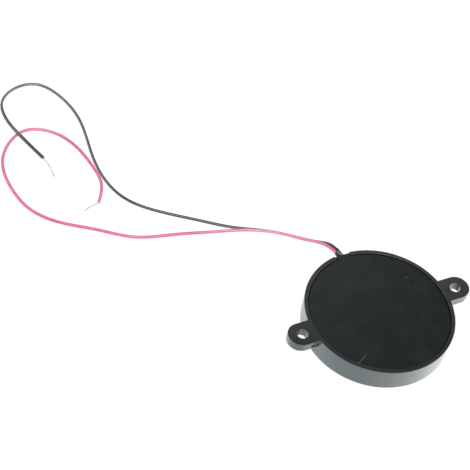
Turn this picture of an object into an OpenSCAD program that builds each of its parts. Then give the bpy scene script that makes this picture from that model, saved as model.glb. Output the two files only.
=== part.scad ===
// Externally driven piezo buzzer with two fixing ears and two flying leads.
// It lies on its sound face. Millimetres, +Z up through the closed back,
// +X towards one ear, +Y towards the lead exit, origin under the centre.

/* [Case] */
// Outer diameter of the round case at its rim
case_d = 44; // [43:0.5:45]
// Height of the case
case_h = 7.5; // [7.5:0.1:8.5]
// How much narrower the case is at its front face, from the moulding draft
draft = 0.5; // [0:0.1:1.2]
// Thickness of the front wall
front_t = 1.5; // [1.3:0.1:1.5]
// Bore of the side wall, under the back plate
bore_d = 40; // [39.6:0.1:40]
// Diameter of the sound hole in the front wall
sound_hole_d = 5; // [3:0.5:6]
// Radius of the front edge
front_edge_r = 0.3; // [0.2:0.1:0.8]

/* [Ears] */
// Distance between the centres of the two screw holes
hole_spacing = 50.8; // [50.6:0.1:51.2]
// Diameter of the screw holes
screw_d = 3.3; // [3:0.1:3.6]
// Width of an ear
ear_w = 7.7; // [7.5:0.1:9]
// Length from the tip of one ear to the tip of the other
ear_span = 59.4; // [59:0.1:61]
// Thickness of an ear
ear_t = 2.7; // [2:0.1:3]
// Rounding of the ears' edges
ear_edge_r = 0.1; // [0.1:0.05:0.3]

/* [Back plate] */
// Width of the rim around the back plate
rim_w = 1.1; // [1:0.1:1.3]
// Thickness of the back plate
plate_t = 1.5; // [1.2:0.1:1.5]
// How far the back plate lies below the rim
plate_sink = 0.3; // [0.1:0.05:0.4]
// Gap around the edge of the back plate
plate_gap = 0.2; // [0.1:0.05:0.25]
// Rounding of the rim's two edges
rim_round = 0.1; // [0.1:0.05:0.3]

/* [Lead exit] */
// Width of the notch in the rim
notch_w = 5; // [4.6:0.1:6]
// Middle of the notch, from the centre line
notch_x = -0.8; // [-1:0.1:-0.4]
// Angle at which the leads leave, from the centre line
exit_angle = 6; // [4:1:8]
// Wall of the sleeve around the leads
sleeve_wall = 0.12; // [0.1:0.01:0.14]

/* [Piezo disc] */
// Diameter of the brass disc
brass_d = 35; // [34.6:0.1:35]
// Thickness of the brass disc
brass_t = 0.3; // [0.2:0.05:0.35]
// Diameter of the ceramic disc
ceramic_d = 25; // [22:0.5:25]
// Thickness of the ceramic disc
ceramic_t = 0.25; // [0.2:0.05:0.3]
// Diameter of the silver electrode
silver_d = 23.6; // [20:0.1:24]
// Depth of the sound chamber in front of the disc
chamber_h = 1.7; // [1.5:0.1:1.7]

/* [Leads] */
// Diameter of each insulated lead
lead_d = 0.9; // [0.8:0.05:0.95]
// Diameter of the bare stranded ends
strand_d = 0.45; // [0.35:0.05:0.45]

/* [Hidden] */
$fn = 96;
eps = 0.01;
big = 80;

plastic_black = [0.16, 0.17, 0.17];
plate_black = [0.13, 0.14, 0.14];
red_pvc = [0.88, 0.20, 0.36];
black_pvc = [0.12, 0.12, 0.12];
tin = [0.78, 0.78, 0.80];

// Levels, from the sound face up
seat_z = front_t + chamber_h;
brass_top = seat_z + brass_t;
ceramic_top = brass_top + ceramic_t;
silver_t = 0.05;
silver_top = ceramic_top + silver_t;
plate_top = case_h - plate_sink;
ledge_z = plate_top - plate_t;
ear_z = case_h - ear_t;

// Radii, from the middle out
rim_r = case_d / 2;
front_r = rim_r - draft / 2;
recess_r = rim_r - rim_w;
plate_r = recess_r - plate_gap;
bore_r = bore_d / 2;
seat_clear = 0.2;
lip_r = brass_d / 2 + seat_clear;
lip_w = 0.9;
lip_h = 0.7;
seat_w = 1.2;
tab_r = rim_r - 0.2;
tab_clear = 0.2;
spigot_w = 1;
spigot_h = 0.8;
spigot_clear = 0.1;

// The leads lie side by side in a sleeve, which crosses the wall at exit_point
exit_point = [0, rim_r, ledge_z - 0.75];
exit_dir = [-sin(exit_angle), cos(exit_angle), 0];
exit_side = [cos(exit_angle), sin(exit_angle), 0];
slot_z = exit_point.z - 0.75;
lead_clear = 0.1;
lane_x = 0.54 * lead_d;
sleeve_r = lead_d / 2 + lead_clear + sleeve_wall;
sleeve_back = 2.4;
sleeve_front = 3.1;
sleeve_slant = 36;

// A point in the sleeve: side is -1 for the red lead and 1 for the black one
function lane(side, along) = exit_point + side * lane_x * exit_side + along * exit_dir;

// Routes of the leads, from the solder joints to the stripped ends
red_route = [
    [1.5, 12, 4.7], lane(-1, -2.6), lane(-1, 2.6), [-2.2, 28.8, 4.4],
    [-5.6, 33.2, 2.8], [-10.9, 38.3, 1.8], [-19.2, 42.9, 1.3], [-29.8, 45.9, 1.1],
    [-41.1, 49, 0.6], [-52.6, 52, 0.5], [-62.2, 58.2, 0.5], [-71, 63.9, 0.5],
    [-77.1, 71, 0.5], [-79.2, 80.3, 0.5], [-78, 89.9, 0.5], [-73.3, 96.5, 0.5],
    [-66.1, 99.9, 0.5], [-58.9, 96.7, 0.5], [-54.6, 89.5, 0.5], [-53, 80.5, 0.5],
    [-53.2, 74, 0.5], [-57, 67.2, 0.5]];
black_route = [
    [1.9, 16.2, 4.7], lane(1, -2.6), lane(1, 3.2), [-0.9, 28.4, 4.6],
    [-2.4, 30.9, 3.2], [-6.3, 35.5, 1.3], [-13, 40.9, 0.6], [-22.7, 45.8, 0.5],
    [-32.2, 52, 0.5], [-41.4, 58.4, 0.5], [-49.1, 66.4, 0.5], [-51.8, 77, 0.5],
    [-50.9, 87.2, 0.5], [-49.2, 98.4, 0.5], [-51.1, 110, 0.5], [-55.9, 116.4, 0.5],
    [-63.1, 116.7, 0.5], [-69, 112.2, 0.5], [-70.2, 106, 0.7], [-69.6, 99.1, 1.6],
    [-65.7, 88, 0.6]];
red_end_route = [[-59.9, 66.3, 0.4], [-62.4, 65.6, 0.3]];
black_end_route = [[-65.2, 83.8, 0.4], [-65.5, 80.3, 0.3]];

function unit(v) = v / norm(v);
function arc(x, y, r, from, to) =
    [for (i = [0 : 5]) let (a = from + (to - from) * i / 5) [x + r * cos(a), y + r * sin(a)]];

// A smooth curve through the points p, with one more point between each two
function between(a, b, c, d) = (9 * (b + c) - a - d) / 16;
function smooth(p) = [
    for (i = [0 : len(p) - 2])
        each [p[i], between(p[max(i - 1, 0)], p[i], p[i + 1], p[min(i + 2, len(p) - 1)])],
    p[len(p) - 1]];

// A round tube along a path, as one closed polyhedron
module tube(path, d) {
    sides = 8;
    last = len(path) - 1;
    points = [
        for (i = [0 : last])
            let (ahead = unit(path[min(i + 1, last)] - path[max(i - 1, 0)]),
                 across = unit(cross(ahead, [0, 0, 1])),
                 up = cross(across, ahead))
            for (k = [0 : sides - 1])
                let (a = (k + 0.5) * 360 / sides)
                path[i] + d / 2 * (cos(a) * across + sin(a) * up)];
    faces = [
        [for (k = [0 : sides - 1]) k],
        for (i = [0 : last - 1]) for (k = [0 : sides - 1])
            let (a = i * sides + k, b = i * sides + (k + 1) % sides)
            each [[a, a + sides, b + sides], [a, b + sides, b]],
        [for (k = [sides - 1 : -1 : 0]) last * sides + k]];
    polyhedron(points, faces);
}

module rod(from, to, d) {
    v = to - from;
    translate(from) rotate([0, acos(v.z / norm(v)), atan2(v.y, v.x)])
        cylinder(h = norm(v), d = d, $fn = 24);
}

module ring(outer, inner, z, h) {
    translate([0, 0, z]) difference() {
        cylinder(r = outer, h = h);
        translate([0, 0, -eps]) cylinder(r = inner, h = h + 2 * eps);
    }
}

// Half section of the cup: sound hole, front wall, drafted side wall, rim,
// recess and ledge for the back plate, and the rib that carries the disc
module cup_section() {
    mouth = 0.3;
    hole_r = sound_hole_d / 2;
    polygon(concat(
        [[hole_r, mouth], [hole_r + mouth, 0]],
        arc(front_r - front_edge_r, front_edge_r, front_edge_r, -90, 0),
        arc(rim_r - rim_round, case_h - rim_round, rim_round, 0, 90),
        arc(recess_r + rim_round, case_h - rim_round, rim_round, 90, 180),
        [[recess_r, ledge_z], [bore_r, ledge_z], [bore_r, front_t],
         [lip_r + lip_w, front_t], [lip_r + lip_w, seat_z + lip_h],
         [lip_r, seat_z + lip_h], [lip_r, seat_z],
         [lip_r - seat_w, seat_z], [lip_r - seat_w, front_t], [hole_r, front_t]]));
}

// Half section of an ear, with rounded edges
function ear_half() =
    let (side = ear_w / 2 - ear_edge_r)
    concat([[0, ear_z]], arc(side, ear_z + ear_edge_r, ear_edge_r, -90, 0),
           arc(side, case_h - ear_edge_r, ear_edge_r, 0, 90), [[0, case_h]]);

// Both ears in one bar with round ends, which the cup crosses
module ears() {
    tip = ear_span / 2 - ear_w / 2;
    difference() {
        union() {
            for (side = [0, 1]) mirror([0, side, 0]) rotate([90, 0, 90])
                translate([0, 0, -tip]) linear_extrude(2 * tip) polygon(ear_half());
            for (x = [-tip, tip]) translate([x, 0, 0]) rotate_extrude() polygon(ear_half());
        }
        translate([0, 0, ear_z - 1]) cylinder(r = (recess_r + rim_r) / 2, h = ear_t + 2);
    }
}

// The notch is open at the top, where the tab of the back plate closes it
module notch(w, z, from_r, to_r) {
    intersection() {
        ring(to_r, from_r, z, case_h);
        translate([notch_x - w / 2, 0, z]) cube([w, big, case_h]);
    }
}

// Scar of the moulding gate on the side of one ear, with a torn stub left in it
module gate_pocket() {
    translate([-24.2, -ear_w / 2 - 1, ear_z + 0.4]) cube([2.4, 1.3, ear_t - 0.9]);
}

module gate_stub() {
    translate([-24, -ear_w / 2 + 0.4, ear_z + 0.4 + 0.8 * (ear_t - 0.9)]) rotate([0, 20, 0])
        linear_extrude(0.3) polygon([[0, 0], [1.8, 0], [1.5, -0.3], [0.3, -0.25]]);
}

module housing() {
    color(plastic_black) {
        difference() {
            union() {
                rotate_extrude() cup_section();
                ears();
            }
            for (x = [-1, 1]) translate([x * hole_spacing / 2, 0, ear_z - 1])
                cylinder(d = screw_d, h = ear_t + 2);
            notch(notch_w, slot_z, bore_r - 1, rim_r + 1);
            gate_pocket();
        }
        gate_stub();
    }
}

module plate_section() {
    spigot_r = bore_r - spigot_clear;
    corner = 0.15;
    polygon([
        [0, ledge_z], [spigot_r - spigot_w, ledge_z],
        [spigot_r - spigot_w, ledge_z - spigot_h], [spigot_r, ledge_z - spigot_h],
        [spigot_r, ledge_z], [plate_r, ledge_z], [plate_r, plate_top - corner],
        [plate_r - corner, plate_top], [0, plate_top]]);
}

module back_plate() {
    color(plate_black) difference() {
        union() {
            rotate_extrude() plate_section();
            intersection() {
                notch(notch_w - 2 * tab_clear, ledge_z, bore_r, tab_r);
                cylinder(r = rim_r, h = plate_top);
            }
        }
        translate([notch_x - notch_w / 2 - 0.5, 0, ledge_z - big])
            cube([notch_w + 1, big, big]);
    }
}

module brass_disc() {
    color([0.83, 0.66, 0.33]) translate([0, 0, seat_z]) cylinder(d = brass_d, h = brass_t);
}

module piezo_ceramic() {
    color([0.86, 0.80, 0.66]) translate([0, 0, brass_top]) cylinder(d = ceramic_d, h = ceramic_t);
}

module silver_electrode() {
    color([0.80, 0.80, 0.78]) translate([0, 0, ceramic_top]) cylinder(d = silver_d, h = silver_t);
}

// Bead of silicone that holds the disc down on its seat
module disc_adhesive() {
    disc_r = brass_d / 2;
    color([0.92, 0.92, 0.90]) rotate_extrude() polygon([
        [disc_r - 0.9, brass_top], [disc_r, brass_top], [disc_r, seat_z], [lip_r, seat_z],
        [lip_r, seat_z + lip_h], [lip_r + 0.5, seat_z + lip_h], [lip_r + 0.3, seat_z + 0.9],
        [disc_r - 0.2, seat_z + 1], [disc_r - 0.7, seat_z + 0.7]]);
}

// Dome of solder over the bare end of a lead. The lead's route starts at its cut end
module solder_joint(route, bare, z, base_d) {
    path = smooth(route);
    foot = path[0] - bare * unit(path[1] - path[0]);
    h = foot.z + strand_d / 2 - z;
    ball_r = (base_d * base_d / 4 + h * h) / (2 * h);
    color(tin) {
        difference() {
            translate([foot.x, foot.y, z + h - ball_r]) sphere(r = ball_r);
            translate([foot.x - 5, foot.y - 5, z - 10]) cube([10, 10, 10]);
        }
        rod(foot, path[0], strand_d);
    }
}

// Outline across the leads: two round lanes side by side
module lanes(r) {
    for (side = [-1, 1]) translate([side * lane_x, 0]) circle(r = r);
}

module sleeve_outline() {
    lanes(sleeve_r);
    square([2 * lane_x, 2 * sleeve_r], center = true);
}

module along_exit(back, length) {
    translate(exit_point - back * exit_dir) rotate([90, 0, exit_angle + 180])
        linear_extrude(length) children();
}

// Shrunk sleeve, snipped off at a slant so that it runs further along the black lead
module lead_sleeve() {
    color(black_pvc) difference() {
        along_exit(sleeve_back, sleeve_back + 2 * sleeve_front) sleeve_outline();
        along_exit(sleeve_back + 1, sleeve_back + 2 * sleeve_front + 2)
            lanes(lead_d / 2 + lead_clear);
        translate(exit_point + sleeve_front * exit_dir) rotate([0, 0, exit_angle + sleeve_slant])
            translate([-big / 2, 0, -big / 2]) cube(big);
    }
}

// Sealant that closes the slot in the wall around the sleeve
module exit_sealant() {
    color([0.10, 0.10, 0.11]) difference() {
        intersection() {
            notch(notch_w, slot_z, bore_r, tab_r - 0.2);
            cylinder(r = rim_r, h = ledge_z);
        }
        along_exit(sleeve_back + 2, sleeve_back + 8) sleeve_outline();
    }
}

module red_lead() {
    color(red_pvc) tube(smooth(red_route), lead_d);
}

module black_lead() {
    color(black_pvc) tube(smooth(black_route), lead_d);
}

// The bare strands go on from the lead's cut end, and then droop
module stripped_end(route, bare_route) {
    path = smooth(route);
    cut = path[len(path) - 1];
    ahead = unit(cut - path[len(path) - 2]);
    color(tin) tube(concat([cut, cut + ahead * 0.6], bare_route), strand_d);
}

housing();
back_plate();
brass_disc();
piezo_ceramic();
silver_electrode();
disc_adhesive();
solder_joint(red_route, 2, silver_top, 2.4);  // red_solder_joint
solder_joint(black_route, 1.6, brass_top, 2.4);  // black_solder_joint
exit_sealant();
lead_sleeve();
red_lead();
black_lead();
stripped_end(red_route, red_end_route);  // red_lead_end
stripped_end(black_route, black_end_route);  // black_lead_end
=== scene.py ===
# %% [markdown]
# # A piezo buzzer and its two flying leads
# The object is a flat round alarm sounder: a moulded black cup with two
# fixing ears, a back plate sunk in its rim, and inside it a brass disc with a
# ceramic on it that bends when a voltage comes down the red and black leads.
# The frame from the CAD model gives every size and place. This file gives the
# looks: smooth leads with stripped ends, the shrunk sleeve round them, and a
# finish for each plastic, metal and adhesive.
#
# Lengths are written in millimetres or thousandths of one, and MM and MICRON
# turn them into metres.

# %% Load the frame
import math

import bpy
import numpy as np
from mathutils import Matrix, Vector


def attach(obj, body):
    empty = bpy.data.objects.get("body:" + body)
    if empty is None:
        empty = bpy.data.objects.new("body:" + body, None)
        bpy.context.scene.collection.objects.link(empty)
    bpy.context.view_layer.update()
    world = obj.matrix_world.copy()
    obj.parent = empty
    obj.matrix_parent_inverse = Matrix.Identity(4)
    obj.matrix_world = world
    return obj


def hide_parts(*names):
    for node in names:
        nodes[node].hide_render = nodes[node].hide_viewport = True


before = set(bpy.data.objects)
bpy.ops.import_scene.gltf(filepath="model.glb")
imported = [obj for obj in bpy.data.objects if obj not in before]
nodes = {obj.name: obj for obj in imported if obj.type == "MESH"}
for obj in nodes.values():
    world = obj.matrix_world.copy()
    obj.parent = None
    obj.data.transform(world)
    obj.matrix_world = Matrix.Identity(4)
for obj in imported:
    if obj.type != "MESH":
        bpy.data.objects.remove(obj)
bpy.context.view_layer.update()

MM = 0.001
MICRON = 0.001 * MM
scene = bpy.context.scene
print("nodes:", ", ".join(sorted(nodes)))

# %% [markdown]
# ## The camera
# A long lens at more than half a metre keeps the round case free of
# distortion. The camera is placed as it would be said aloud in a studio: what
# it aims at, how far off it is, from which side and how high it looks, and
# how far it is tilted about its own axis. Its three axes follow from those
# angles, so nothing has to be nudged by hand.

# %% Camera
# The film and the lens are in millimetres, the limits of view in metres.
AIM = Vector((-23.605, 43.498, 0)) * MM
DISTANCE = 612.72 * MM
AZIMUTH, ELEVATION, TILT = (math.radians(x) for x in (-38.007, 48.932, 15.01))
FILM_WIDTH, FOCAL_LENGTH = 36, 160.196
NEAREST, FARTHEST = 0.02, 30

backwards = Vector((
    math.sin(AZIMUTH) * math.cos(ELEVATION),
    -math.cos(AZIMUTH) * math.cos(ELEVATION),
    math.sin(ELEVATION),
))
level = Vector((math.cos(AZIMUTH), math.sin(AZIMUTH), 0))
upright = backwards.cross(level)
to_right = math.cos(TILT) * level + math.sin(TILT) * upright
to_top = backwards.cross(to_right)

camera = bpy.data.objects.new("studio_camera", bpy.data.cameras.new("studio_camera"))
scene.collection.objects.link(camera)
camera.data.sensor_width = FILM_WIDTH
camera.data.lens = FOCAL_LENGTH
camera.data.clip_start, camera.data.clip_end = NEAREST, FARTHEST
camera.matrix_world = Matrix.Translation(AIM + DISTANCE * backwards) @ Matrix(
    (to_right, to_top, backwards)).transposed().to_4x4()
scene.camera = camera
print("camera at mm:", [round(x / MM, 1) for x in camera.matrix_world.translation])

# %% [markdown]
# ## Curves for the leads
# A lead is limp wire: it has a fixed length and a few gentle bends. Its route
# is a short list of points, and a natural cubic spline runs through them. It
# bends as a thin springy strip does, with no jump in curvature at a point. A
# curve object would need its handles set one by one, and an array of points
# can also be measured and cut to length.

# %% Smooth routes
def smooth_route(points, steps=16):
    """The natural cubic spline through the points p. On a span of length h,
    with u and w the distances left and gone, it is
    (m0 u^3 + m1 w^3) / 6h + (p0/h - m0 h/6) u + (p1/h - m1 h/6) w.
    The bends m follow from equal slopes where two spans meet."""
    p = np.asarray(points, float)
    h = np.linalg.norm(np.diff(p, axis=0), axis=1)
    inner = np.arange(1, len(p) - 1)
    meet = np.eye(len(p))
    meet[inner, inner - 1], meet[inner, inner + 1] = h[:-1], h[1:]
    meet[inner, inner] = 2 * (h[:-1] + h[1:])
    m = np.zeros_like(p)
    m[inner] = 6 * np.diff(np.diff(p, axis=0) / h[:, None], axis=0)
    m, h = np.linalg.solve(meet, m)[:, None], h[:, None, None]
    w = h * (np.arange(steps) / steps)[:, None]
    u = h - w
    curve = ((m[:-1] * u ** 3 + m[1:] * w ** 3) / (6 * h)
             + (p[:-1, None] / h - m[:-1] * h / 6) * u + (p[1:, None] / h - m[1:] * h / 6) * w)
    return np.concatenate([curve.reshape(-1, 3), p[-1:]])


def arc_length(path):
    """How far along the path each of its points is: the running sum of steps."""
    steps = np.linalg.norm(np.diff(path, axis=0), axis=1)
    return np.concatenate([[0], np.cumsum(steps)])


def evenly(path, step):
    """The path again, with points at equal distances of about step."""
    along = arc_length(path)
    at = np.linspace(0, along[-1], int(round(along[-1] / step)) + 1)
    return np.stack([np.interp(at, along, path[:, k]) for k in range(3)], axis=1)


# %% [markdown]
# ## The routes
# Both leads start at a solder joint on the disc, pass the wall side by side
# in the sleeve, drop to the table and lie on it in one loose loop each. The
# points are those of the CAD tubes, so the smooth leads lie where those are.

# %% Routes of the leads
EXIT = np.array([0, 22, 4.95]) * MM
EXIT_ANGLE = math.radians(6)
OUTWARD = np.array([-math.sin(EXIT_ANGLE), math.cos(EXIT_ANGLE), 0])
SIDEWAYS = np.array([math.cos(EXIT_ANGLE), math.sin(EXIT_ANGLE), 0])
LANE = 0.486 * MM
RED, BLACK = -1, 1
STEP = 0.5 * MM


def lane(side, along):
    """A point in the sleeve, at distance along from the wall."""
    return EXIT + side * LANE * SIDEWAYS + along * MM * OUTWARD


def route(start, sleeved, rest):
    """Points inside the case, the two in the sleeve, and those outside."""
    return np.concatenate([np.array(start) * MM, sleeved, np.array(rest) * MM])


red_points = route(
    [[1.5, 12, 4.7]], [lane(RED, -2.6), lane(RED, 2.6)],
    [[-2.2, 28.8, 4.4], [-5.6, 33.2, 2.8], [-10.9, 38.3, 1.8], [-19.2, 42.9, 1.3],
     [-29.8, 45.9, 1.1], [-41.1, 49, 0.6], [-52.6, 52, 0.5], [-62.2, 58.2, 0.5],
     [-71, 63.9, 0.5], [-77.1, 71, 0.5], [-79.2, 80.3, 0.5], [-78, 89.9, 0.5],
     [-73.3, 96.5, 0.5], [-66.1, 99.9, 0.5], [-58.9, 96.7, 0.5], [-54.6, 89.5, 0.5],
     [-53, 80.5, 0.5], [-53.2, 74, 0.5], [-57, 67.2, 0.5]])
black_points = route(
    [[1.9, 16.2, 4.7]], [lane(BLACK, -2.6), lane(BLACK, 3.2)],
    [[-0.9, 28.4, 4.6], [-2.4, 30.9, 3.2], [-6.3, 35.5, 1.3], [-13, 40.9, 0.6],
     [-22.7, 45.8, 0.5], [-32.2, 52, 0.5], [-41.4, 58.4, 0.5], [-49.1, 66.4, 0.5],
     [-51.8, 77, 0.5], [-50.9, 87.2, 0.5], [-49.2, 98.4, 0.5], [-51.1, 110, 0.5],
     [-55.9, 116.4, 0.5], [-63.1, 116.7, 0.5], [-69, 112.2, 0.5], [-70.2, 106, 0.7],
     [-69.6, 99.1, 1.6], [-65.7, 88, 0.6]])
red_path = evenly(smooth_route(red_points), STEP)
black_path = evenly(smooth_route(black_points), STEP)

# %% [markdown]
# ## A skin along a path
# Insulation, copper strands and sleeve are one kind of surface: an outline
# carried along a path. Each point of a ring has its own distance along the
# path, so one surface can run along the outside of the insulation, turn over
# the uneven cut at its end and go back into the bore. A skin ends in a pole,
# or its last ring meets its first, so every piece is a sealed solid.

# %% Outlines along a path
def turns(count):
    """That many angles, which share out one whole turn evenly."""
    return np.arange(count) / count * 2 * math.pi


def carry(path, at, wide, high):
    """Points of outlines carried along a path: centre + wide * across + high *
    over, where across is level, over is square to it and to the path, and all
    three are read at distance at. Past its ends the path goes on straight."""
    along = arc_length(path)
    ahead = np.gradient(path, axis=0)
    at, wide, high = np.broadcast_arrays(at, wide, high)

    def read(values):
        return np.stack([np.interp(at, along, values[:, k]) for k in range(3)], -1)

    tangent = read(ahead)
    tangent /= np.linalg.norm(tangent, axis=-1, keepdims=True)
    centre = read(path) + (at - np.clip(at, 0, along[-1]))[..., None] * tangent
    across = np.cross(tangent, [0, 0, 1])
    across /= np.linalg.norm(across, axis=-1, keepdims=True)
    over = np.cross(across, tangent)
    return centre + wide[..., None] * across + high[..., None] * over


# %% Sealed skins
def skin(rings, at, looped=False):
    """Points, faces and corner UVs of rings (m, k, 3) joined by quads. It is
    closed by a pole at each end, or by quads from the last ring to the first.
    In the UV map u is the distance along the path and v the share of a turn."""
    m, k, _ = rings.shape
    at = np.broadcast_to(at, (m, k))
    i, j = np.meshgrid(np.arange(m if looped else m - 1), np.arange(k), indexing="ij")
    here, there, right = i * k, (i + 1) % m * k, (j + 1) % k
    quads = np.stack([here + j, there + j, there + right, here + right], -1).reshape(-1, 4)
    turn = np.stack([j, j, j + 1, j + 1], -1).reshape(-1, 4) / k
    points, along = rings.reshape(-1, 3), at.ravel()
    faces, us, vs = quads.tolist(), along[quads].ravel(), turn.ravel()
    if not looped:
        points = np.concatenate([points, rings[[0, -1]].mean(1)])
        along = np.concatenate([along, at[[0, -1]].mean(1)])
        j, last = np.arange(k), (m - 1) * k
        fans = np.concatenate([
            np.stack([j, (j + 1) % k, np.full(k, m * k)], -1),
            np.stack([last + (j + 1) % k, last + j, np.full(k, m * k + 1)], -1)])
        turn = np.concatenate([np.stack([j, j + 1, j + 0.5], -1),
                               np.stack([j + 1, j, j + 0.5], -1)]) / k
        faces += fans.tolist()
        us, vs = np.append(us, along[fans]), np.append(vs, turn)
    return points, faces, np.stack([us / MM, vs], -1)


# %% Pieces
def piece(name, skins):
    """One object made of skins, smooth, sealed, at the origin."""
    points, faces, uvs, first = [], [], [], 0
    for skin_points, skin_faces, skin_uvs in skins:
        points.append(skin_points)
        faces += [[first + n for n in face] for face in skin_faces]
        uvs.append(skin_uvs)
        first += len(skin_points)
    mesh = bpy.data.meshes.new(name)
    mesh.from_pydata(np.concatenate(points).tolist(), [], faces)
    layer = mesh.uv_layers.new(name="along_and_round")
    layer.data.foreach_set("uv", np.concatenate(uvs).astype(np.float32).ravel())
    mesh.shade_smooth()
    made = bpy.data.objects.new(name, mesh)
    scene.collection.objects.link(made)
    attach(made, "root")
    report(made)
    return made


def report(made):
    """Prints a piece's triangles, its volume, and how many edges are open."""
    mesh = made.data
    mesh.calc_loop_triangles()
    points = np.zeros(len(mesh.vertices) * 3, np.float32)
    mesh.vertices.foreach_get("co", points)
    corners = np.zeros(len(mesh.loop_triangles) * 3, np.int32)
    mesh.loop_triangles.foreach_get("vertices", corners)
    a, b, c = (points.reshape(-1, 3).astype(float)[corners[n::3]] / MM for n in range(3))
    volume = (np.cross(a, b) * c).sum() / 6
    edges = np.zeros(len(mesh.loops), np.int32)
    mesh.loops.foreach_get("edge_index", edges)
    open_edges = int((np.bincount(edges) != 2).sum())
    print(f"{made.name}: {len(mesh.loop_triangles)} triangles, "
          f"{volume:.2f} mm3, {open_edges} open edges")


# %% [markdown]
# ## The insulation
# The leads are thin hook-up wire in soft PVC, 0.9 mm across. Extruded PVC is
# never quite round or even: it swells and thins in long stretches, and ripples
# by about one part in a hundred. The wire stripper pushed it back on itself,
# so it is fatter towards the cut, and the cut is a little uneven and open
# round the strands. The outline is a circle whose radius changes slowly along
# the lead, and the cut end is the same skin turned in on itself.

# %% Insulated leads
# RIPPLE is a share of the radius, and WAVES are the lengths that it comes in.
LEAD_R = 0.45 * MM
RIPPLE = 0.012
WAVES = (3.1 * MM, 7.7 * MM, 1.9 * MM)
turn_20 = turns(20)


def insulation(name, path, seed, girth):
    """A tube whose radius is LEAD_R (girth + RIPPLE drift), with a rounded start
    and a cut end. The girth is read off its list of (mm along the lead, share
    of LEAD_R), and the drift is the mean of three slow waves. Each profile row
    is (distance past the cut, radius as a share of the girth at the end, how
    far the cut's unevenness shifts it). That unevenness is a wave of 0.06 mm
    with two crests in a turn, and chance on top of it."""
    random = np.random.default_rng(seed)
    length = arc_length(path)[-1]
    body = np.arange(0.4 * MM, length - STEP, STEP)[:, None]
    phase = random.uniform(0, 2 * math.pi, 4)
    drift = (np.sin(body / WAVES[0] + phase[0]) + np.sin(body / WAVES[1] + phase[1])
             + np.sin(body / WAVES[2] + phase[2] + 2 * turn_20)) / 3
    girth_at, girth = np.transpose(girth)
    body_r = LEAD_R * (np.interp(body, girth_at * MM, girth) + RIPPLE * drift)
    chance = random.uniform(-0.03, 0.03, len(turn_20)) * MM
    ragged = 0.06 * MM * np.sin(2 * turn_20 + phase[3]) + chance
    cut = np.array([
        (-0.30, 1.00, 0.2), (-0.16, 1.00, 0.6), (-0.06, 0.98, 1), (-0.015, 0.95, 1),
        (0, 0.88, 1), (0, 0.62, 1), (-0.03, 0.55, 1), (-0.30, 0.51, 0.2), (-0.60, 0.51, 0)])
    cut_at = length + cut[:, :1] * MM + cut[:, 2:] * ragged
    start = np.array([(0, 0.62), (0.03, 0.84), (0.12, 0.965)])
    at = np.concatenate([start[:, :1] * MM + 0 * turn_20, body + 0 * turn_20, cut_at])
    r = np.concatenate([start[:, 1:] * LEAD_R + 0 * turn_20, body_r,
                        cut[:, 1:2] * girth[-1] * LEAD_R + 0 * turn_20])
    rings = carry(path, at, r * np.cos(turn_20), r * np.sin(turn_20))
    return piece(name, [skin(rings, at)])


red_wire = insulation("red_wire", red_path, 11, (
    (0, 0.985), (42, 0.985), (52, 1.03), (95, 1.04), (106, 1.08), (160, 1.08), (170, 0.985),
    (182, 1.06)))
black_wire = insulation("black_wire", black_path, 12, (
    (0, 0.985), (143, 0.985), (150, 1.12), (160, 1.15), (168, 1.17)))

# %% [markdown]
# ## The stripped ends
# Under the insulation are seven tinned strands, six twisted round one. They
# could be one grooved rod, but seven separate strands catch the light as wire
# does and spread a little at the tip. Each strand is a thin tube along its own
# helix: the lead's path plus a circle whose angle grows with the distance.

# %% Bare strands
# Their path begins INSIDE before the cut, and they start SKIPPED along it.
STRANDS = 7
STRAND_R = 0.075 * MM
LAY = 4.2 * MM
INSIDE, SKIPPED = 1.2 * MM, 0.75 * MM
STRAND_STEP, TIP = 0.12 * MM, 0.08 * MM
turn_8 = turns(8)


def bare_end(name, lead_path, bare_route, seed):
    """Seven strands from inside the insulation to the tip. Strand n of the six
    outer ones is at radius 2 STRAND_R (1 + spread t^6) and angle n/6 turn plus
    distance / LAY turns, where t goes from 0 to 1. Each strand ends at its own
    length, in a rounded tip."""
    random = np.random.default_rng(seed)
    cut, ahead = lead_path[-1], lead_path[-1] - lead_path[-2]
    ahead = ahead / np.linalg.norm(ahead)
    path = evenly(smooth_route(np.concatenate([
        [cut - INSIDE * ahead, cut - 0.5 * MM * ahead, cut, cut + 0.15 * MM * ahead],
        np.array(bare_route) * MM])), 0.1 * MM)
    length = arc_length(path)[-1]
    skins = []
    for n in range(STRANDS):
        ends = SKIPPED, length - random.uniform(0, 0.35) * MM
        at = np.arange(*ends, STRAND_STEP)
        t = at / length
        orbit = (n > 0) * 2 * STRAND_R * (1 + random.uniform(0.1, 0.9) * t ** 6)
        angle = 2 * math.pi * (n / (STRANDS - 1) + at / LAY) + random.uniform(-0.06, 0.06)
        strand = carry(path, at, orbit * np.cos(angle), orbit * np.sin(angle))
        along = arc_length(strand)[:, None]
        from_end = np.minimum(along, along[-1] - along)
        r = STRAND_R * np.minimum(1, 0.35 + from_end / TIP)
        rings = carry(strand, along, r * np.cos(turn_8), r * np.sin(turn_8))
        skins.append(skin(rings, along))
    return piece(name, skins)


red_strands = bare_end("red_bare_strands", red_path,
                       [[-58.4, 66.8, 0.4], [-59.9, 66.45, 0.4], [-62.3, 65.75, 0.3]], 21)
black_strands = bare_end("black_bare_strands", black_path,
                         [[-65.3, 86, 0.5], [-65.15, 84, 0.4], [-65.45, 80.3, 0.3]], 22)
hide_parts("red_lead")
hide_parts("black_lead")
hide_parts("red_lead_end")
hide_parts("black_lead_end")

# %% [markdown]
# ## The shrunk sleeve
# A short black sleeve holds the two leads together where they leave the case.
# Shrunk round two wires it has two lobes with a waist between them, and it was
# snipped at a slant, so it reaches further along the black lead. It shrank
# most at that free edge, where the heat reached it first. One outline does for
# both walls: two circles that slide into each other through a tanh.

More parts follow.
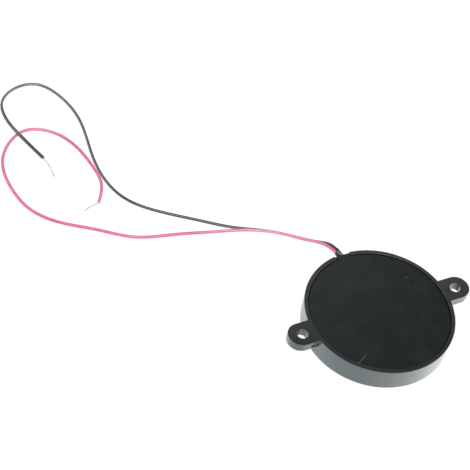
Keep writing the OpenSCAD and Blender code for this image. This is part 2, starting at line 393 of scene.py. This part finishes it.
# %% Sleeve
SLEEVE_R, HOLE_R = 0.67 * MM, 0.55 * MM
SLEEVE_BACK, SLEEVE_FRONT = -2.4 * MM, 3.1 * MM
SLANT = math.tan(math.radians(36))
BEHIND, LIP = 3 * MM, 0.02 * MM
OUTER_WAIST, INNER_WAIST, WAIST_WIDTH = 0.13, 0.06, 0.45 * MM
OUTER_SHRINK, INNER_SHRINK = 0.11 * MM, 0.05 * MM
WRINKLE, WRINKLE_LENGTH = 0.012 * MM, 0.42 * MM
turn_48 = turns(48)


def two_lobes(r, waist):
    """Wide and high of the outline: wide = LANE tanh(3 cos a) + r cos a, and
    high = r sin a, less a share waist of it within WAIST_WIDTH or so of the
    middle."""
    wide = LANE * np.tanh(3 * np.cos(turn_48)) + r * np.cos(turn_48)
    return wide, r * np.sin(turn_48) * (1 - waist * np.exp(-(wide / WAIST_WIDTH) ** 2))


def shrunk_sleeve():
    """Outer wall from back to front, then the inner wall back again. The front
    edge is at SLEEVE_FRONT + SLANT wide, rounded over its last LIP. Distances
    count from the wall, and the line that carries them starts at -BEHIND."""
    share = np.linspace(0, 1, 28)[:, None]
    shrunk = share ** 2 * (3 - 2 * share)
    outer_wide, outer_high = two_lobes(SLEEVE_R - OUTER_SHRINK * shrunk, OUTER_WAIST)
    inner_wide, inner_high = two_lobes(HOLE_R - INNER_SHRINK * shrunk, INNER_WAIST)
    front = SLEEVE_FRONT + SLANT * outer_wide[-1] - LIP
    out_at = SLEEVE_BACK + share * (front - SLEEVE_BACK)
    wrinkle = (WRINKLE * np.sin(turn_48)
               * np.sin(out_at / WRINKLE_LENGTH + np.sin(3 * turn_48)))
    lip_at = np.stack([front + LIP, front + LIP])
    lip = np.array([0.66, 0.3])[:, None]
    lip_wide = lip * outer_wide[-1] + (1 - lip) * inner_wide[-1]
    lip_high = lip * outer_high[-1] + (1 - lip) * inner_high[-1]
    at = np.concatenate([out_at, lip_at, out_at[::-1]])
    wide = np.concatenate([outer_wide, lip_wide, inner_wide[::-1]])
    high = np.concatenate([outer_high + wrinkle * (1 - shrunk), lip_high, inner_high[::-1]])
    line = np.stack([EXIT - BEHIND * OUTWARD, EXIT + 5 * MM * OUTWARD])
    rings = carry(line, at + BEHIND, wide, high)
    return piece("shrunk_sleeve", [skin(rings, at, looped=True)])


sleeve = shrunk_sleeve()
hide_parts("lead_sleeve")

# %% [markdown]
# ## A short way to write node trees
# Every finish is a small tree of shader nodes. The helpers below add a node
# with its settings and inputs in one line, so that a finish reads like a
# recipe. An input may be a plain value or the output of another node.

# %% Node helpers
def node(tree, kind, inputs=(), **settings):
    """Adds a node, applies its settings, and sets or links its inputs."""
    made = tree.nodes.new(kind)
    for name, value in settings.items():
        setattr(made, name, value)
    for name, value in dict(inputs).items():
        if isinstance(value, bpy.types.NodeSocket):
            tree.links.new(value, made.inputs[name])
        else:
            made.inputs[name].default_value = value
    return made


def math_node(tree, operation, a, b=0.0, clamp=False):
    """The result of one sum, product or comparison."""
    return node(tree, "ShaderNodeMath", {0: a, 1: b}, operation=operation,
                use_clamp=clamp).outputs[0]


NUMBERS = "DOT_PRODUCT", "DISTANCE", "LENGTH"


def vector_node(tree, operation, a, b=(0, 0, 0)):
    """The same for vectors. Those listed in NUMBERS give a plain number."""
    made = node(tree, "ShaderNodeVectorMath", {0: a, 1: b}, operation=operation)
    return made.outputs["Value" if operation in NUMBERS else "Vector"]


def coordinate(tree, kind):
    """Object coordinates, the normal, or another output of that node."""
    return node(tree, "ShaderNodeTexCoord").outputs[kind]


def component(tree, vector, axis):
    """The X, Y or Z of a vector."""
    return node(tree, "ShaderNodeSeparateXYZ", {0: vector}).outputs[axis]


# %% Masks, noise and colours
def between(tree, value, low, high, to_low=0.0, to_high=1.0):
    """Stretches value from low..high to to_low..to_high, and stops there."""
    return node(tree, "ShaderNodeMapRange", {
        "Value": value, "From Min": low, "From Max": high,
        "To Min": to_low, "To Max": to_high}, clamp=True).outputs[0]


def mixed(tree, share, a, b):
    """Colour a turning into colour b as share goes from 0 to 1. A Mix node has
    sockets for each kind of data, and its colours are inputs 6 and 7."""
    made = node(tree, "ShaderNodeMix", {"Factor": share}, data_type="RGBA")
    for socket, value in ((made.inputs[6], a), (made.inputs[7], b)):
        if isinstance(value, bpy.types.NodeSocket):
            tree.links.new(value, socket)
        else:
            socket.default_value = value
    return made.outputs[2]


def scale_for(tree, size):
    """One over size, which is the scale of a pattern about size across."""
    if isinstance(size, bpy.types.NodeSocket):
        return math_node(tree, "DIVIDE", 1.0, size)
    return 1 / size


def noise(tree, place, size, detail=2.0, rough=0.5, distortion=0.0):
    """Noise from 0 to 1, with bumps about size across in the units of place."""
    return node(tree, "ShaderNodeTexNoise", {
        "Vector": place, "Scale": scale_for(tree, size), "Detail": detail,
        "Roughness": rough, "Distortion": distortion}).outputs[0]


def stained(tree, tone, mask, strength, stain):
    """The tone with a stain over it where the mask is, at that strength."""
    return mixed(tree, math_node(tree, "MULTIPLY", mask, strength, True), tone, stain)


def written(red, green, blue):
    """A colour as it is picked on a screen (0 to 255), in linear light."""
    def linear(x):
        x = x / 255
        return x / 12.92 if x <= 0.04045 else ((x + 0.055) / 1.055) ** 2.4
    return (linear(red), linear(green), linear(blue), 1)


def grey(level):
    """A grey of that level in linear light, from 0 to 1."""
    return (level, level, level, 1)


# %% [markdown]
# ## Effects that several finishes share
# The mouldings have the same faint grain from the tool, and hair scratches
# from handling. Dust settles on them, on the leads and on the fillings. Each
# of these effects is a node group, built once and placed with its own values
# in each material that shows it.

# %% Node groups
def group(name, inputs, outputs):
    """An empty node group with those sockets, and its input and output nodes."""
    tree = bpy.data.node_groups.new(name, "ShaderNodeTree")
    for label, kind, value in inputs:
        socket = tree.interface.new_socket(name=label, in_out="INPUT", socket_type=kind)
        if value is not None:
            socket.default_value = value
    for label, kind in outputs:
        tree.interface.new_socket(name=label, in_out="OUTPUT", socket_type=kind)
    return tree, tree.nodes.new("NodeGroupInput").outputs, tree.nodes.new("NodeGroupOutput")


def placed(tree, effect, **values):
    """That group in a material, with its values set or linked."""
    made = node(tree, "ShaderNodeGroup", node_tree=effect)
    for name, value in values.items():
        label = name.replace("_", " ").capitalize()
        if isinstance(value, bpy.types.NodeSocket):
            tree.links.new(value, made.inputs[label])
        else:
            made.inputs[label].default_value = value
    return made.outputs


VECTOR, FLOAT = "NodeSocketVector", "NodeSocketFloat"

# %% Tool grain
# The height is fine noise plus wider, shallow pits. The clouds are slow noise.
tool_grain, given, result = group(
    "tool_grain", [("Place", VECTOR, None), ("Grain size", FLOAT, 0.0002),
                   ("Cloud size", FLOAT, 0.006)],
    [("Height", FLOAT), ("Clouds", FLOAT)])
fine = noise(tool_grain, given["Place"], given["Grain size"], 3.0, 0.6)
pit_scale = math_node(tool_grain, "MULTIPLY", scale_for(tool_grain, given["Grain size"]), 0.45)
pits = node(tool_grain, "ShaderNodeTexVoronoi", {"Vector": given["Place"], "Scale": pit_scale},
            feature="SMOOTH_F1").outputs["Distance"]
grain = math_node(tool_grain, "ADD", fine, math_node(tool_grain, "MULTIPLY", pits, 0.7))
clouds = noise(tool_grain, given["Place"], given["Cloud size"], 4.0, 0.55)
tool_grain.links.new(grain, result.inputs["Height"])
tool_grain.links.new(between(tool_grain, clouds, 0.3, 0.7), result.inputs["Clouds"])

# %% Dust
# Each Voronoi cell has a random colour. A cell whose colour passes a limit
# carries one speck at its middle, so the limit sets how many specks there are.
dust, given, result = group(
    "dust", [("Place", VECTOR, None), ("Cell", FLOAT, 0.0015), ("Amount", FLOAT, 0.06),
             ("Speck", FLOAT, 0.09)],
    [("Mask", FLOAT)])
cells = node(dust, "ShaderNodeTexVoronoi", {
    "Vector": given["Place"], "Scale": scale_for(dust, given["Cell"])})
draw = node(dust, "ShaderNodeSeparateColor", {"Color": cells.outputs["Color"]}).outputs[0]
chosen = math_node(dust, "LESS_THAN", draw, given["Amount"])
near = math_node(dust, "DIVIDE", cells.outputs["Distance"], given["Speck"])
speck = between(dust, near, 0.5, 1.0, 1.0, 0.0)
dust.links.new(math_node(dust, "MULTIPLY", chosen, speck), result.inputs["Mask"])

# %% Hair scratches
# A scratch is where a stretched noise passes through one value: there the
# noise forms long thin lines. A second, wide noise decides where they show.
hair_scratches, given, result = group(
    "hair_scratches", [("Place", VECTOR, None), ("Length", FLOAT, 0.006), ("Turn", FLOAT, 0.6),
                       ("Amount", FLOAT, 0.5)],
    [("Mask", FLOAT)])
turned = node(hair_scratches, "ShaderNodeVectorRotate", {
    "Vector": given["Place"], "Angle": given["Turn"]}, rotation_type="Z_AXIS").outputs[0]
stretched = vector_node(hair_scratches, "MULTIPLY", turned, (1, 14, 1))
lines = noise(hair_scratches, stretched, given["Length"], 1.0, distortion=0.3)
off_line = math_node(hair_scratches, "ABSOLUTE", math_node(hair_scratches, "SUBTRACT", lines, 0.5))
thin = between(hair_scratches, off_line, 0.0, 0.012, 1.0, 0.0)
where = noise(hair_scratches, given["Place"], 7 * MM)
shows = between(hair_scratches, where, math_node(hair_scratches, "SUBTRACT", 1.0, given["Amount"]),
                1.0, 0.0, 3.0)
hair_scratches.links.new(math_node(hair_scratches, "MULTIPLY", thin, shows),
                         result.inputs["Mask"])

# %% Streaks
# A streak is a straight mark from Start to End, seen from above. With both
# laid flat, a point's distance from the line is the length of a cross product.
# The mask fades from 1 on the line to 0 at half the width, and within FADE of
# both ends.
FADE = 0.1 * MM

streak, given, result = group(
    "streak", [("Place", VECTOR, None), ("Start", VECTOR, None), ("End", VECTOR, None),
               ("Width", FLOAT, 0.0005)],
    [("Mask", FLOAT)])
whole = vector_node(streak, "SUBTRACT", given["End"], given["Start"])
half = math_node(streak, "DIVIDE", vector_node(streak, "LENGTH", whole), 2.0)
ahead = vector_node(streak, "NORMALIZE", whole)
moved = vector_node(streak, "MULTIPLY", vector_node(
    streak, "SUBTRACT", given["Place"], given["Start"]), (1, 1, 0))
gone = vector_node(streak, "DOT_PRODUCT", moved, ahead)
past = math_node(streak, "ABSOLUTE", math_node(streak, "SUBTRACT", gone, half))
ended = between(streak, past, math_node(streak, "SUBTRACT", half, FADE),
                math_node(streak, "ADD", half, FADE), 1.0, 0.0)
beside = vector_node(streak, "LENGTH", vector_node(streak, "CROSS_PRODUCT", moved, ahead))
on_it = between(streak, beside, 0.0, math_node(streak, "DIVIDE", given["Width"], 2.0), 1.0, 0.0)
streak.links.new(math_node(streak, "MULTIPLY", on_it, ended), result.inputs["Mask"])
print("shared effects:", [g.name for g in bpy.data.node_groups])

# %% [markdown]
# ## Finishes
# A finish starts from an empty material with one Principled shader. Its fixed
# numbers, such as the specular level, are set on the shader's own sockets, and
# what changes over the surface is linked to them.

# %% Material helpers
def empty_material(name):
    """A material with an empty node tree, and that tree."""
    made = bpy.data.materials.new(name)
    made.use_nodes = True
    made.node_tree.nodes.clear()
    return made, made.node_tree


def finish(name, **fixed):
    """A material, its tree, its Principled shader, and Object coordinates."""
    made, tree = empty_material(name)
    shader = node(tree, "ShaderNodeBsdfPrincipled")
    for label, value in fixed.items():
        shader.inputs[label.replace("_", " ")].default_value = value
    node(tree, "ShaderNodeOutputMaterial", {"Surface": shader.outputs[0]})
    return made, tree, shader, coordinate(tree, "Object")


def feed(tree, shader, **links):
    """Links outputs to the shader's inputs of those names."""
    for label, value in links.items():
        tree.links.new(value, shader.inputs[label.replace("_", " ")])


def bumped(tree, shader, *layers):
    """Chains bump nodes, one for each (height, distance in metres, strength)."""
    normal = None
    for height, distance, strength in layers:
        inputs = {"Height": height, "Distance": distance, "Strength": strength}
        if normal is not None:
            inputs["Normal"] = normal
        normal = node(tree, "ShaderNodeBump", inputs).outputs[0]
    tree.links.new(normal, shader.inputs["Normal"])


def dress(target, material):
    """Gives a CAD node or a piece its finish."""
    obj = nodes[target] if isinstance(target, str) else target
    if not obj.material_slots:
        obj.data.materials.append(material)
    for held in obj.material_slots:
        held.material = material
    print(f"{obj.name}: {material.name}")


def marked(tree, place, start, end, width):
    """The mask of a streak from start to end, both (x, y) in millimetres."""
    start, end = (tuple(MM * n for n in (*point, 0)) for point in (start, end))
    return placed(tree, streak, place=place, start=start, end=end, width=width * MM)["Mask"]


# %% [markdown]
# ## The moulded black plastic
# Cup and back plate are glass-filled black plastic from a spark-eroded tool:
# nearly black, satin, with a faint grain and slow clouds where the melt
# flowed. Each part is also painted a shade paler on one side: painted light,
# for the side that catches more of it. The cup's upright walls were rubbed
# smooth as they slid out of the tool, and mirror the pale ground when they
# are seen at a slant, while its flat tops stay dull. A clear coat that grows
# with the slant does that, and a mask of how upright a face stands keeps it
# off the tops.

# %% Moulded plastic
def moulded(name, shaded_dark, lit_pale, lit_towards, lit_reach, roughness, grain_depth, scratch, **fixed):
    """Moulded plastic. The share of the lit_pale tone is 0.85 of how far a point
    lies towards lit_towards, between the two distances in lit_reach, plus 0.15
    of the clouds. That first part is painted light: the side that catches more
    light is painted paler. Grain and hair scratches are bump, and dust dulls the
    gloss. It gives back what the case and the plate need to add their own marks."""
    made, tree, shader, place = finish(name, **fixed)
    grain = placed(tree, tool_grain, place=place, grain_size=0.22 * MM, cloud_size=7 * MM)
    specks = placed(tree, dust, place=place, cell=2.2 * MM, amount=0.10, speck=0.075)
    hairs = placed(tree, hair_scratches, place=place, length=5 * MM, turn=0.7, amount=scratch)
    # Painted light: the share of the lit_pale tone grows towards the side that catches more light.
    painted_light = between(tree, vector_node(tree, "DOT_PRODUCT", place, lit_towards), *lit_reach)
    share = math_node(tree, "ADD", math_node(tree, "MULTIPLY", painted_light, 0.85),
                      math_node(tree, "MULTIPLY", grain["Clouds"], 0.15))
    tone = mixed(tree, share, shaded_dark, lit_pale)
    tone = stained(tree, tone, hairs["Mask"], 0.25, written(120, 122, 122))
    tone = stained(tree, tone, specks["Mask"], 0.35, written(170, 170, 165))
    shine = between(tree, grain["Clouds"], 0.0, 1.0, roughness - 0.04, roughness + 0.04)
    shine = math_node(tree, "ADD", shine, math_node(tree, "MULTIPLY", specks["Mask"], 0.2), True)
    feed(tree, shader, Base_Color=tone, Roughness=shine)
    bumped(tree, shader, (grain["Height"], grain_depth, 0.5),
           (hairs["Mask"], -4 * MICRON, 0.4))
    return made, tree, shader, place, tone, shine


# %% Case plastic
# Each hole's wall has a dark upright stripe of painted shade, where that side
# of the wall lies in shade. The clear coat sets in at the first slant in
# COATED and is whole at the second.
SHADE_STRIPES = ((-25.49, 1.65), (26.95, 0.57))
SHADE_STRIPE_CORE, SHADE_STRIPE_EDGE = 0.14 * MM, 0.28 * MM
COATED = 0.13, 0.74

# The case is painted paler towards the far side, which catches more light: painted light.
case_plastic, tree, shader, place, tone, shine = moulded(
    "case_plastic", shaded_dark=written(10, 11, 11), lit_pale=written(49, 46, 45),
    lit_towards=(0.15, 0.95, 0), lit_reach=(-24 * MM, 8 * MM), roughness=0.38,
    grain_depth=12 * MICRON, scratch=0.42, IOR=2.0, Specular_IOR_Level=0.5,
    Specular_Tint=(0.88, 1, 1, 1), Coat_IOR=4.0, Coat_Roughness=0.16)
rise = math_node(tree, "ABSOLUTE", component(tree, coordinate(tree, "Normal"), "Z"))
standing = between(tree, rise, 0.3, 0.7, 1.0, 0.0)
slant = math_node(tree, "MULTIPLY", standing, node(
    tree, "ShaderNodeLayerWeight", {"Blend": 0.5}).outputs["Facing"])
coat = math_node(tree, "POWER", between(tree, slant, *COATED), 2.0)
from_above = vector_node(tree, "MULTIPLY", place, (1, 1, 0))
first, second = (
    between(tree, vector_node(tree, "DISTANCE", from_above, (x * MM, y * MM, 0)),
            SHADE_STRIPE_CORE, SHADE_STRIPE_EDGE, 1.0, 0.0)
    for x, y in SHADE_STRIPES)
# Painted shade: the stripes are painted near black, lose the coat and turn rougher.
painted_shade = math_node(tree, "MAXIMUM", first, second)
tone = mixed(tree, painted_shade, tone, written(8, 9, 9))
coat = math_node(tree, "MULTIPLY", coat, math_node(tree, "SUBTRACT", 1.0, painted_shade))
shine = math_node(tree, "ADD", shine, math_node(tree, "MULTIPLY", painted_shade, 0.4), True)
feed(tree, shader, Base_Color=tone, Coat_Weight=coat, Roughness=shine)
dress("housing", case_plastic)

# %% Plate plastic
# The plate also has the marks of a used part: one scratch and three nicks.
# Each is a start, an end, a width and a strength.
PLATE_MARKS = (
    ((-15.4, -14.6), (-11.4, -12.3), 0.7, 0.33), ((-0.8, 20.4), (-1.7, 19.2), 0.4, 0.25),
    ((13.3, 8.1), (13.7, 8.5), 0.6, 0.5), ((12.2, 4.6), (12.2, 4.9), 0.5, 0.6))

# The plate is painted paler towards the far left, which catches more light: painted light.
plate_plastic, tree, shader, place, tone, _ = moulded(
    "plate_plastic", shaded_dark=written(16, 20, 20), lit_pale=written(36, 40, 40),
    lit_towards=(-0.35, 0.94, 0), lit_reach=(-12 * MM, 20 * MM), roughness=0.46,
    grain_depth=10 * MICRON, scratch=0.5, IOR=1.5, Specular_IOR_Level=0.5,
    Specular_Tint=(0.85, 1, 1, 1))
for start, end, width, strength in PLATE_MARKS:
    tone = stained(tree, tone, marked(tree, place, start, end, width), strength,
                   written(112, 118, 116))
feed(tree, shader, Base_Color=tone)
dress("back_plate", plate_plastic)

# %% [markdown]
# ## Soft PVC
# The insulation is coloured PVC, softer and glossier than the case. Pulling it
# through the die leaves faint lines along the lead, so its pattern follows the
# lead: it reads the UV map that the skin carries, u along and v round. A short
# list paints light along each lead: it says where the lead is painted paler,
# where it catches more light, and where deeper. A painted highlight runs
# along the sleeve's waist.

# %% Lead insulation
def insulation_pvc(name, deep, light, roughness, lit_stretches, painted_highlight=None, **fixed):
    """PVC insulation: drawn lines along the lead, slow changes of tone, dust.
    Each row of lit_stretches is (mm along the lead, share of the light tone),
    and a colour ramp runs through them: painted light, paler where the lead
    catches more light. A painted_highlight is a pale streak that stands for a
    gleam, from one point to another, with its width."""
    made, tree, shader, place = finish(name, **fixed)
    uv = node(tree, "ShaderNodeUVMap", uv_map="along_and_round").outputs[0]
    drawn = vector_node(tree, "MULTIPLY", uv, (0.05, 9, 1))
    lines = noise(tree, drawn, 1.0)
    slow = noise(tree, place, 9 * MM)
    specks = placed(tree, dust, place=place, cell=1.6 * MM, amount=0.12, speck=0.08)
    full_length = lit_stretches[-1][0]
    # Painted light: this ramp makes the lead paler where it catches more light.
    ramp = node(tree, "ShaderNodeValToRGB", {
        "Fac": math_node(tree, "DIVIDE", component(tree, uv, "X"), full_length)})
    stops = ramp.color_ramp.elements
    for at, _ in lit_stretches[1:-1]:
        stops.new(at / full_length)
    for stop, (_, light_share) in zip(stops, lit_stretches):
        stop.color = grey(light_share)
    wander = between(tree, math_node(tree, "ADD", math_node(tree, "MULTIPLY", lines, 0.4),
                                     math_node(tree, "MULTIPLY", slow, 0.6)), 0.35, 0.65)
    share = math_node(tree, "ADD", math_node(tree, "MULTIPLY", wander, 0.25),
                      math_node(tree, "SUBTRACT", ramp.outputs["Color"], 0.125), True)
    tone = mixed(tree, share, deep, light)
    # Painted highlight: a pale streak stands for the gleam along the sleeve's waist.
    if painted_highlight:
        tone = mixed(tree, marked(tree, place, *painted_highlight), tone, written(205, 206, 204))
    tone = stained(tree, tone, specks["Mask"], 0.3, written(190, 185, 180))
    shine = between(tree, slow, 0.3, 0.7, roughness - 0.05, roughness + 0.05)
    feed(tree, shader, Base_Color=tone, Roughness=shine)
    bumped(tree, shader, (lines, 10 * MICRON, 0.5),
           (noise(tree, place, 0.4 * MM), 4 * MICRON, 0.4))
    return made


# Painted light: each lead is paler where it catches more light and deeper where it catches less.
red_pvc = insulation_pvc(
    "red_pvc", deep=written(238, 98, 145), light=written(247, 154, 188), roughness=0.34,
    lit_stretches=(
        (0, 0.3), (15, 0.4), (26, 0.95), (45, 0.8), (58, 0.1), (78, 0.3), (92, 0.0),
        (105, 0.4), (114, 0.1), (136, 0.6), (150, 0.8), (158, 0.1), (170, 0.0), (182, 0.6)),
    IOR=1.53, Coat_Weight=0.6, Coat_Roughness=0.15)
black_pvc = insulation_pvc(
    "black_pvc", deep=written(36, 39, 38), light=written(114, 117, 116), roughness=0.34,
    lit_stretches=(
        (0, 0.0), (60, 0.0), (70, 0.3), (82, 0.3), (94, 0.1), (103, 0.5), (111, 0.0),
        (121, 1.0), (143, 1.0), (148, 0.0), (169, 0.3)),
    IOR=1.53, Coat_Weight=1.0, Coat_IOR=1.6, Coat_Roughness=0.2)
# The sleeve is painted paler towards its front, and its painted highlight runs along its waist.
sleeve_pvc = insulation_pvc(
    "sleeve_pvc", deep=written(46, 48, 49), light=written(66, 68, 69), roughness=0.36,
    lit_stretches=((0, 0.2), (9, 0.7)), painted_highlight=((-0.42, 24.66), (0.13, 22.91), 0.5), IOR=1.53)
dress(red_wire, red_pvc)
dress(black_wire, black_pvc)
dress(sleeve, sleeve_pvc)

# %% [markdown]
# ## Metals
# Tinned copper, solder, brass and the fired silver are all bare metal, and
# differ in tint, in how rough they are and in what their surface was worked
# by. One recipe does them all: two tones, a stained mask, and a bump. The tin
# on the thin strands has a dull skin, so it is only part metallic.

# %% Metals
def bare_metal(name, bright, dull, roughness, pattern, depth, **fixed):
    """Metal with a clean tone and a tarnished one, mixed by wide noise, and a
    fine pattern that varies its roughness and its height."""
    made, tree, shader, place = finish(name, **{"Metallic": 1.0, **fixed})
    worked = pattern(tree, place)
    stain = between(tree, noise(tree, place, 4 * MM, 4.0, 0.6), 0.42, 0.68)
    tone = mixed(tree, stain, bright, dull)
    shine = math_node(tree, "ADD", between(tree, worked, 0.2, 0.8, roughness - 0.06,
                                           roughness + 0.06),
                      math_node(tree, "MULTIPLY", stain, 0.12), True)
    feed(tree, shader, Base_Color=tone, Roughness=shine)
    bumped(tree, shader, (worked, depth, 0.5))
    return made


def rolled(tree, place):
    """Fine parallel lines, as rolling leaves them on sheet."""
    return noise(tree, vector_node(tree, "MULTIPLY", place, (0.04, 1, 1)), 0.1 * MM, 3.0)


def frosted(tree, place):
    """An even fine frost, as on fired silver and on cooled solder."""
    return noise(tree, place, 0.08 * MM, 3.0, 0.6)


def drawn_strand(tree, place):
    """Slight unevenness of tin on drawn copper strands."""
    return noise(tree, place, 0.3 * MM)


tinned = bare_metal(
    "tinned_copper", bright=(0.82, 0.82, 0.83, 1), dull=(0.74, 0.74, 0.73, 1),
    roughness=0.48, pattern=drawn_strand, depth=3 * MICRON, Metallic=0.3)
brass = bare_metal(
    "rolled_brass", bright=(0.80, 0.60, 0.27, 1), dull=(0.62, 0.44, 0.20, 1),
    roughness=0.30, pattern=rolled, depth=2 * MICRON)
silver = bare_metal(
    "fired_silver", bright=(0.86, 0.85, 0.82, 1), dull=(0.70, 0.68, 0.62, 1),
    roughness=0.46, pattern=frosted, depth=4 * MICRON)
solder = bare_metal(
    "solder", bright=(0.74, 0.75, 0.77, 1), dull=(0.52, 0.52, 0.53, 1),
    roughness=0.24, pattern=frosted, depth=6 * MICRON)
for target, material, slot in (
        (red_strands, tinned, "strands"), (black_strands, tinned, "strands"),
        ("brass_disc", brass, "disc_brass"), ("silver_electrode", silver, "silver"),
        ("red_solder_joint", solder, "solder"), ("black_solder_joint", solder, "solder")):
    dress(target, material)

# %% [markdown]
# ## Ceramic, silicone and sealant
# Inside the case the brass disc carries a thin disc of fired ceramic, a bead
# of white silicone holds it down, and a black sealant fills the slot round
# the sleeve. None of them is metal, and each has its own grain.

# %% Fillings and ceramic
def cast(name, deep, light, roughness, grain_size, depth, **fixed):
    """A cast or fired filling: two tones, an even grain, and some dust."""
    made, tree, shader, place = finish(name, **fixed)
    grain = placed(tree, tool_grain, place=place, grain_size=grain_size, cloud_size=3 * MM)
    specks = placed(tree, dust, place=place, cell=1.2 * MM, amount=0.15, speck=0.09)
    tone = mixed(tree, grain["Clouds"], deep, light)
    tone = stained(tree, tone, specks["Mask"], 0.3, written(150, 146, 138))
    shine = between(tree, grain["Height"], 0.3, 1.1, roughness - 0.08, roughness + 0.08)
    feed(tree, shader, Base_Color=tone, Roughness=shine)
    bumped(tree, shader, (grain["Height"], depth, 0.5))
    return made


ceramic = cast(
    "fired_ceramic", deep=written(196, 182, 148), light=written(212, 200, 168),
    roughness=0.62, grain_size=0.06 * MM, depth=6 * MICRON, IOR=1.7)
silicone = cast(
    "white_silicone", deep=written(216, 216, 210), light=written(232, 232, 228),
    roughness=0.32, grain_size=0.7 * MM, depth=20 * MICRON, IOR=1.42)
sealant = cast(
    "black_sealant", deep=written(24, 24, 25), light=written(33, 33, 34),
    roughness=0.34, grain_size=0.5 * MM, depth=30 * MICRON, IOR=1.48)
dress("piezo_ceramic", ceramic)
dress("disc_adhesive", silicone)
dress("exit_sealant", sealant)

# %% [markdown]
# ## The table and the light
# The floor is a pale dish: flat where the object lies, and turned up far away
# so that a low view ends on it too. The camera sees it glow almost white,
# which keeps the shadows faint. Polished surfaces mirror it as white on the
# right and as a cool pale grey on the left: painted shade, standing for ground
# that lies in shade on that side. For the light that it throws back on the
# object it is plain pale card. Its underside is clear, so the sound face can
# be looked at from below.

# %% Floor
def dish(flat=2.4, bend=0.8, wall=0.7, rings=24, sides=96):
    """A dish by turning a profile round the vertical: level out to flat, then a
    quarter circle of radius bend, then straight up by wall, all in metres."""
    angle = np.linspace(0, math.pi / 2, rings)
    r = np.concatenate([[0.2, 1.0], flat + bend * np.sin(angle), [flat + bend]])
    z = np.concatenate([[0, 0], bend * (1 - np.cos(angle)), [bend + wall]])
    turn = turns(sides)
    points = np.stack([r[:, None] * np.cos(turn), r[:, None] * np.sin(turn),
                       z[:, None] + 0 * turn], -1)
    i, j = np.meshgrid(np.arange(len(r) - 1), np.arange(sides), indexing="ij")
    right = (j + 1) % sides
    quads = np.stack([i * sides + j, (i + 1) * sides + j, (i + 1) * sides + right,
                      i * sides + right], -1).reshape(-1, 4)
    middle = points.shape[0] * sides
    fan = np.stack([np.full(sides, middle), np.arange(sides), (np.arange(sides) + 1) % sides], -1)
    mesh = bpy.data.meshes.new("floor_dish")
    mesh.from_pydata(points.reshape(-1, 3).tolist() + [(0, 0, 0)], [],
                     quads.tolist() + fan.tolist())
    mesh.shade_smooth()
    made = bpy.data.objects.new("floor_dish", mesh)
    scene.collection.objects.link(made)
    print(f"floor_dish: {len(mesh.polygons)} faces, {flat + bend:.1f} m out to its wall")
    return made


# The dish lies a hair below the object, so that no two faces share a place.
floor = dish()
floor.location.z = -20 * MICRON

# %% Floor card
# Painted shade in what polished surfaces mirror: the ground glows white on the right and a cool
# shaded grey on the left.
COOL_SHADE, WHITE = (0.66, 0.77, 0.77, 1), grey(1)
SHADE_UP_TO, WHITE_FROM = -22 * MM, 15 * MM

floor_card, tree = empty_material("pale_card")
ray = node(tree, "ShaderNodeLightPath").outputs
seen = math_node(tree, "MAXIMUM", ray["Is Camera Ray"], math_node(
    tree, "MAXIMUM", ray["Is Glossy Ray"], ray["Is Transmission Ray"]))
across = component(tree, coordinate(tree, "Object"), "X")
mirrored_shade = mixed(tree, between(tree, across, SHADE_UP_TO, WHITE_FROM), COOL_SHADE, WHITE)
glow = node(tree, "ShaderNodeEmission", {
    "Color": mixed(tree, ray["Is Camera Ray"], mirrored_shade, grey(0.93)), "Strength": 1.0})
faint = node(tree, "ShaderNodeBsdfDiffuse", {"Color": grey(0.2)})
bright = node(tree, "ShaderNodeAddShader", {0: glow.outputs[0], 1: faint.outputs[0]})
card = node(tree, "ShaderNodeBsdfDiffuse", {"Color": grey(0.8)})
front = node(tree, "ShaderNodeMixShader", {0: seen, 1: card.outputs[0], 2: bright.outputs[0]})
clear = node(tree, "ShaderNodeBsdfTransparent")
behind = node(tree, "ShaderNodeNewGeometry").outputs["Backfacing"]
both = node(tree, "ShaderNodeMixShader", {0: behind, 1: front.outputs[0], 2: clear.outputs[0]})
node(tree, "ShaderNodeOutputMaterial", {"Surface": both.outputs[0]})
floor.data.materials.append(floor_card)

# %% Lamps
def soft_lamp(name, direction, distance, size, power):
    """A square area lamp that faces the camera's aim from that direction."""
    data = bpy.data.lights.new(name, "AREA")
    data.shape, data.size, data.energy = "SQUARE", size, power
    lamp = bpy.data.objects.new(name, data)
    scene.collection.objects.link(lamp)
    towards = Vector(direction).normalized()
    lamp.location = AIM + distance * towards
    lamp.rotation_mode = "QUATERNION"
    lamp.rotation_quaternion = towards.to_track_quat("Z", "Y")
    print(f"{name}: {power} W, {distance} m away, {size} m wide")


soft_lamp("key_lamp", (-0.1, -0.5, 0.86), distance=1.2, size=0.9, power=11.0)
soft_lamp("side_lamp", (0.86, -0.40, 0.34), distance=1.1, size=0.7, power=3.0)
soft_lamp("rear_lamp", (-0.62, 0.52, 0.58), distance=1.2, size=0.7, power=5.0)

# %% World and view
# The air gives a little even light, and Standard shows colours as written.
world = bpy.data.worlds.new("studio_air")
scene.world = world
world.use_nodes = True
air = world.node_tree.nodes["Background"]
air.inputs["Color"].default_value = grey(1)
air.inputs["Strength"].default_value = 0.12
scene.view_settings.view_transform = "Standard"
